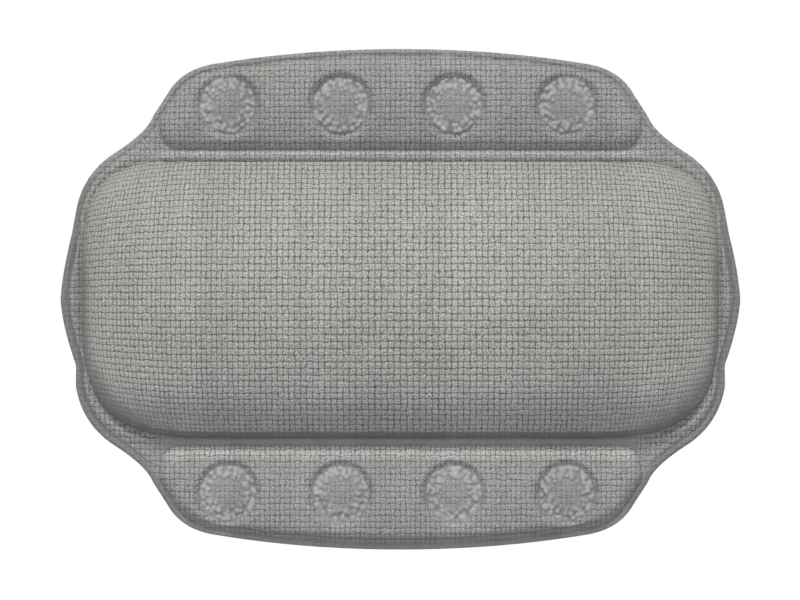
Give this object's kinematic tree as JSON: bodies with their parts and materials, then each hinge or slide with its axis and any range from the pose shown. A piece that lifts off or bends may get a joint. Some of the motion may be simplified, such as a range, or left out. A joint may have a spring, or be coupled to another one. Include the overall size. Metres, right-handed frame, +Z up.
{
  "type": "bath pillow",
  "caption": "Soft grey bath pillow: a crowned filled chamber with padded folding flanges along its long edges, held to the tub by rows of suction cups.",
  "frame": {"origin": "on the surface that the pillow lies on, under the middle of its outline", "axes": "+Z up out of the face, +Y towards the upper flange, +X to the right of the face"},
  "size_m": [0.33, 0.243, 0.0484],
  "materials": {
    "foam_mesh": "matte foamed PVC open weave, warm grey",
    "back_sheet": "thin grained PVC sheet, pale grey",
    "fibre_filling": "white fibre wadding",
    "flange_foam": "thin soft foam",
    "clear_pvc": "clear soft PVC, glossy"
  },
  "bodies": {
    "pillow": {"pillow_front_cover": "foam_mesh", "pillow_filling": "fibre_filling", "pillow_back_cover": "back_sheet"},
    "upper_flange": {"upper_flange_front_cover": "foam_mesh", "upper_flange_padding": "flange_foam", "upper_flange_back_cover": "back_sheet"},
    "suction_cup_upper_1": {"suction_cup_upper_1": "clear_pvc"},
    "suction_cup_upper_2": {"suction_cup_upper_2": "clear_pvc"},
    "suction_cup_upper_3": {"suction_cup_upper_3": "clear_pvc"},
    "suction_cup_upper_4": {"suction_cup_upper_4": "clear_pvc"},
    "lower_flange": {"lower_flange_front_cover": "foam_mesh", "lower_flange_padding": "flange_foam", "lower_flange_back_cover": "back_sheet"},
    "suction_cup_lower_1": {"suction_cup_lower_1": "clear_pvc"},
    "suction_cup_lower_2": {"suction_cup_lower_2": "clear_pvc"},
    "suction_cup_lower_3": {"suction_cup_lower_3": "clear_pvc"},
    "suction_cup_lower_4": {"suction_cup_lower_4": "clear_pvc"}
  },
  "joints": [
    {"name": "upper_flange_fold", "type": "hinge", "parent": "pillow", "child": "upper_flange", "pos_m": [0, 0.07, 0.0128], "axis": [1, 0, 0], "range_deg": [-70, 80], "stiffness_Nm_per_rad": 0.1},
    {"name": "suction_cup_upper_1_press", "type": "slide", "parent": "upper_flange", "child": "suction_cup_upper_1", "axis": [0, 0, 1], "range_m": [0, 0.004], "stiffness_N_per_m": 600, "deforming": ["suction_cup_upper_1"]},
    {"name": "suction_cup_upper_2_press", "type": "slide", "parent": "upper_flange", "child": "suction_cup_upper_2", "axis": [0, 0, 1], "range_m": [0, 0.004], "stiffness_N_per_m": 600, "deforming": ["suction_cup_upper_2"]},
    {"name": "suction_cup_upper_3_press", "type": "slide", "parent": "upper_flange", "child": "suction_cup_upper_3", "axis": [0, 0, 1], "range_m": [0, 0.004], "stiffness_N_per_m": 600, "deforming": ["suction_cup_upper_3"]},
    {"name": "suction_cup_upper_4_press", "type": "slide", "parent": "upper_flange", "child": "suction_cup_upper_4", "axis": [0, 0, 1], "range_m": [0, 0.004], "stiffness_N_per_m": 600, "deforming": ["suction_cup_upper_4"]},
    {"name": "lower_flange_fold", "type": "hinge", "parent": "pillow", "child": "lower_flange", "pos_m": [0, -0.07, 0.0128], "axis": [-1, 0, 0], "range_deg": [-70, 80], "stiffness_Nm_per_rad": 0.1},
    {"name": "suction_cup_lower_1_press", "type": "slide", "parent": "lower_flange", "child": "suction_cup_lower_1", "axis": [0, 0, 1], "range_m": [0, 0.004], "stiffness_N_per_m": 600, "deforming": ["suction_cup_lower_1"]},
    {"name": "suction_cup_lower_2_press", "type": "slide", "parent": "lower_flange", "child": "suction_cup_lower_2", "axis": [0, 0, 1], "range_m": [0, 0.004], "stiffness_N_per_m": 600, "deforming": ["suction_cup_lower_2"]},
    {"name": "suction_cup_lower_3_press", "type": "slide", "parent": "lower_flange", "child": "suction_cup_lower_3", "axis": [0, 0, 1], "range_m": [0, 0.004], "stiffness_N_per_m": 600, "deforming": ["suction_cup_lower_3"]},
    {"name": "suction_cup_lower_4_press", "type": "slide", "parent": "lower_flange", "child": "suction_cup_lower_4", "axis": [0, 0, 1], "range_m": [0, 0.004], "stiffness_N_per_m": 600, "deforming": ["suction_cup_lower_4"]}
  ]
}
